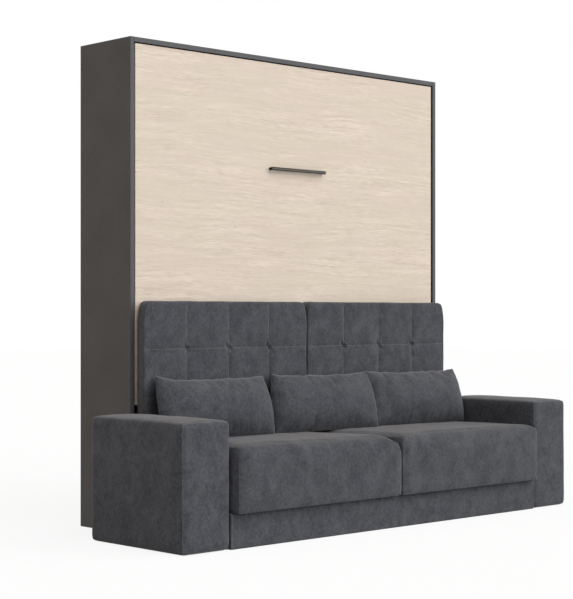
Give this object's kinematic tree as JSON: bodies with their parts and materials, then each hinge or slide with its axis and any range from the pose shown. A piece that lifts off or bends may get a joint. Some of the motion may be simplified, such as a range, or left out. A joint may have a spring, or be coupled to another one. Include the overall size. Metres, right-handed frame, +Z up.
{
  "type": "wall bed with sofa",
  "caption": "Cabinet with a fold-down double bed over a fixed sofa; the bed's underside is the cabinet front and carries the tufted backrests.",
  "frame": {"origin": "on the floor, at the middle of the whole object's width and depth", "axes": "+X to the right seen from the front, +Y into the wall behind the cabinet, +Z up"},
  "size_m": [2.534, 1.071, 2.2],
  "materials": {
    "graphite_board": "matte dark graphite laminated board",
    "grey_hardboard": "thin lacquered grey hardboard",
    "oak_board": "pale bleached oak laminate, horizontal grain",
    "black_metal": "satin black powder coat",
    "painted_steel": "satin grey powder coat",
    "zinc_steel": "zinc-plated steel",
    "birch_slat": "glued birch veneer slat",
    "raw_board": "raw particle board and plywood",
    "grey_velour": "dark grey brushed velour",
    "ticking": "off-white quilted mattress ticking",
    "webbing": "black woven strap"
  },
  "bodies": {
    "root": {"cabinet_side_left": "graphite_board", "cabinet_side_right": "graphite_board", "cabinet_top_panel": "graphite_board", "cabinet_plinth": "graphite_board", "cabinet_top_stretcher": "graphite_board", "cabinet_low_stretcher": "graphite_board", "back_sheet_left": "grey_hardboard", "back_sheet_right": "grey_hardboard", "back_joint_strip": "grey_hardboard", "wall_angle_left": "zinc_steel", "wall_angle_right": "zinc_steel", "pivot_bracket_left": "zinc_steel", "pivot_bracket_right": "zinc_steel", "pivot_pin_left": "zinc_steel", "pivot_pin_right": "zinc_steel", "gas_plate_left": "zinc_steel", "gas_plate_right": "zinc_steel", "sofa_front_rail": "grey_velour", "sofa_rear_rail": "raw_board", "sofa_side_rail_left": "raw_board", "sofa_side_rail_right": "raw_board", "sofa_middle_beam": "raw_board", "seat_deck": "raw_board", "seat_back_board": "grey_velour", "seat_cushion_left": "grey_velour", "seat_cushion_right": "grey_velour", "arm_left": "grey_velour", "arm_right": "grey_velour"},
    "bed": {"facade_panel": "oak_board", "facade_handle": "black_metal", "bed_side_rail_left": "painted_steel", "bed_side_rail_right": "painted_steel", "bed_head_rail": "painted_steel", "bed_foot_rail": "painted_steel", "bed_middle_rail": "painted_steel", "slat_01": "birch_slat", "slat_02": "birch_slat", "slat_03": "birch_slat", "slat_04": "birch_slat", "slat_05": "birch_slat", "slat_06": "birch_slat", "slat_07": "birch_slat", "slat_08": "birch_slat", "slat_09": "birch_slat", "mattress": "ticking", "strap_low": "webbing", "strap_high": "webbing", "pivot_lever_left": "painted_steel", "pivot_lever_right": "painted_steel", "backrest_left": "grey_velour", "backrest_right": "grey_velour"},
    "leg_left": {"folding_leg_left": "black_metal"},
    "leg_right": {"folding_leg_right": "black_metal"},
    "tube_left": {"gas_tube_left": "black_metal"},
    "tube_right": {"gas_tube_right": "black_metal"},
    "rod_left": {"gas_rod_left": "zinc_steel"},
    "rod_right": {"gas_rod_right": "zinc_steel"},
    "pillow_left": {"pillow_left": "grey_velour"},
    "pillow_middle": {"pillow_middle": "grey_velour"},
    "pillow_right": {"pillow_right": "grey_velour"}
  },
  "joints": [
    {"name": "bed_fold", "type": "hinge", "parent": "root", "child": "bed", "pos_m": [0, 0.0845, 0.445], "axis": [1, 0, 0], "range_deg": [0, 90]},
    {"name": "leg_left_swing", "type": "hinge", "parent": "bed", "child": "leg_left", "pos_m": [-0.9354, 0.2375, 2.1525], "axis": [1, 0, 0], "range_deg": [0, 270]},
    {"name": "leg_right_swing", "type": "hinge", "parent": "bed", "child": "leg_right", "pos_m": [0.9354, 0.2375, 2.1525], "axis": [1, 0, 0], "range_deg": [0, 270]},
    {"name": "tube_left_tilt", "type": "hinge", "parent": "root", "child": "tube_left", "pos_m": [-0.957, 0.3645, 1.05], "axis": [1, 0, 0], "range_deg": [-1.58, 0]},
    {"name": "tube_right_tilt", "type": "hinge", "parent": "root", "child": "tube_right", "pos_m": [0.957, 0.3645, 1.05], "axis": [1, 0, 0], "range_deg": [-1.58, 0]},
    {"name": "rod_left_slide", "type": "slide", "parent": "tube_left", "child": "rod_left", "axis": [0, 0.1888, 0.982], "range_m": [0, 0.3079]},
    {"name": "rod_right_slide", "type": "slide", "parent": "tube_right", "child": "rod_right", "axis": [0, 0.1888, 0.982], "range_m": [0, 0.3079]},
    {"name": "pillow_left_lift", "type": "hinge", "parent": "root", "child": "pillow_left", "pos_m": [-0.649, -0.36315, 0.34466], "axis": [1, 0, 0], "range_deg": [0, 180]},
    {"name": "pillow_middle_lift", "type": "hinge", "parent": "root", "child": "pillow_middle", "pos_m": [0.041, -0.36315, 0.34468], "axis": [1, 0, 0], "range_deg": [0, 180]},
    {"name": "pillow_right_lift", "type": "hinge", "parent": "root", "child": "pillow_right", "pos_m": [0.68, -0.36315, 0.34414], "axis": [1, 0, 0], "range_deg": [0, 180]}
  ],
  "couplings": [
    {"joint": "leg_left_swing", "follows": "bed_fold", "ratio": 3},
    {"joint": "leg_right_swing", "follows": "bed_fold", "ratio": 3},
    {"joint": "tube_left_tilt", "follows": "bed_fold", "ratio": -0.017549},
    {"joint": "tube_right_tilt", "follows": "bed_fold", "ratio": -0.017549},
    {"joint": "rod_left_slide", "follows": "bed_fold", "m_per_rad": 0.19597},
    {"joint": "rod_right_slide", "follows": "bed_fold", "m_per_rad": 0.19597},
    {"joint": "pillow_left_lift", "follows": "bed_fold", "ratio": 2},
    {"joint": "pillow_middle_lift", "follows": "bed_fold", "ratio": 2},
    {"joint": "pillow_right_lift", "follows": "bed_fold", "ratio": 2}
  ]
}
